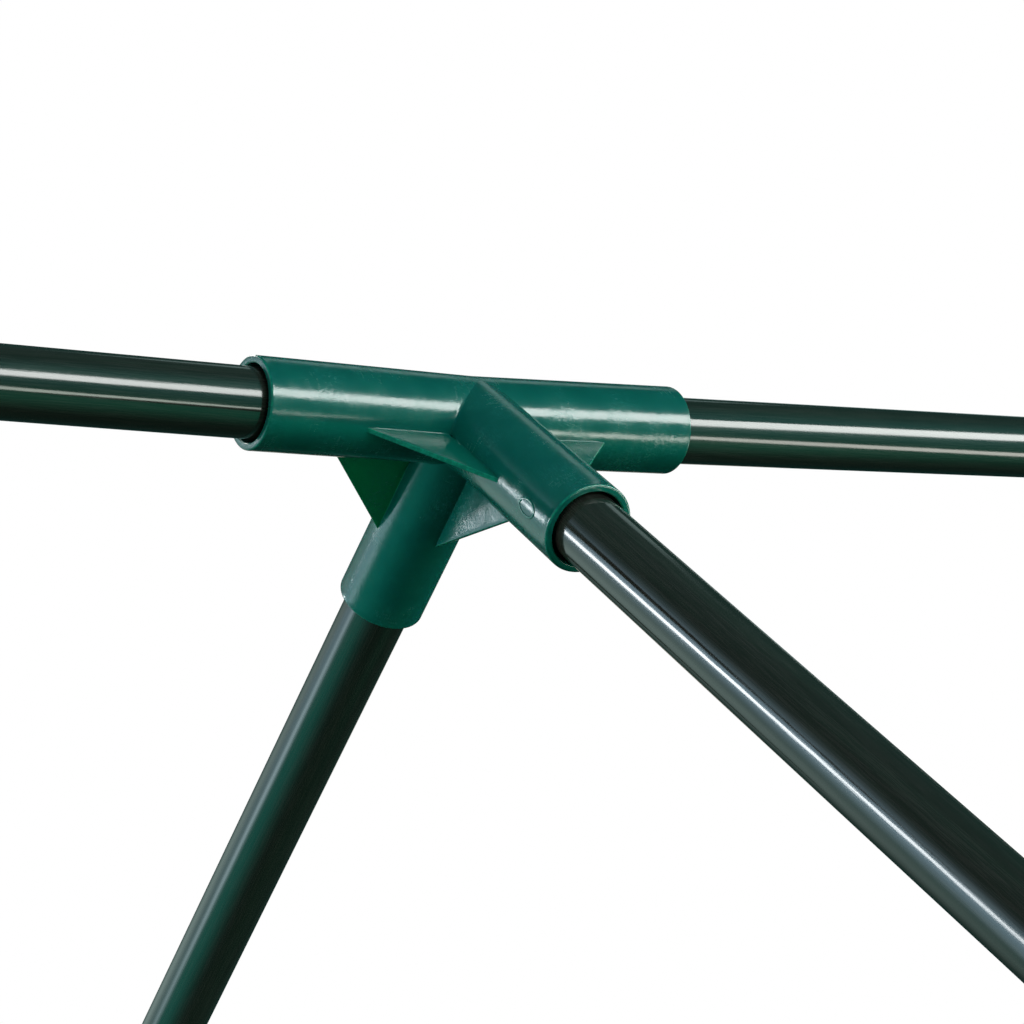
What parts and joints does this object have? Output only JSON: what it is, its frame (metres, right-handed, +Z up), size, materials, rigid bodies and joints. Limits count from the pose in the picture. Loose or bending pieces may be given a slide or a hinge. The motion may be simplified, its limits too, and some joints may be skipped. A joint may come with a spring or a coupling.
{
  "type": "tube frame joint",
  "caption": "Push-fit plastic connector with gusset webs that joins the ridge and rafter tubes of a garden frame; every tube pulls straight out of its socket.",
  "frame": {"origin": "the crossing of the four socket axes, inside the connector", "axes": "+X along the ridge to the right, +Y towards the back rafter, +Z up; both rafters run down from the joint"},
  "size_m": [0.5288, 0.4304, 0.1785],
  "materials": {
    "connector_plastic": "satin moulded plastic",
    "tube_coat": "glossy coat on thin steel tube"
  },
  "bodies": {
    "connector": {"connector": "connector_plastic"},
    "ridge_tube_left": {"ridge_tube_left": "tube_coat"},
    "ridge_tube_right": {"ridge_tube_right": "tube_coat"},
    "rafter_tube_front": {"rafter_tube_front": "tube_coat"},
    "rafter_tube_back": {"rafter_tube_back": "tube_coat"}
  },
  "joints": [
    {"name": "ridge_left_pull", "type": "slide", "parent": "connector", "child": "ridge_tube_left", "axis": [-0.9999, 0, 0.0157], "range_m": [0, 0.0417]},
    {"name": "ridge_right_pull", "type": "slide", "parent": "connector", "child": "ridge_tube_right", "axis": [0.9999, 0, 0.0157], "range_m": [0, 0.0417]},
    {"name": "rafter_front_pull", "type": "slide", "parent": "connector", "child": "rafter_tube_front", "axis": [0, -0.796, -0.6053], "range_m": [0, 0.0417]},
    {"name": "rafter_back_pull", "type": "slide", "parent": "connector", "child": "rafter_tube_back", "axis": [0, 0.796, -0.6053], "range_m": [0, 0.0417]}
  ]
}
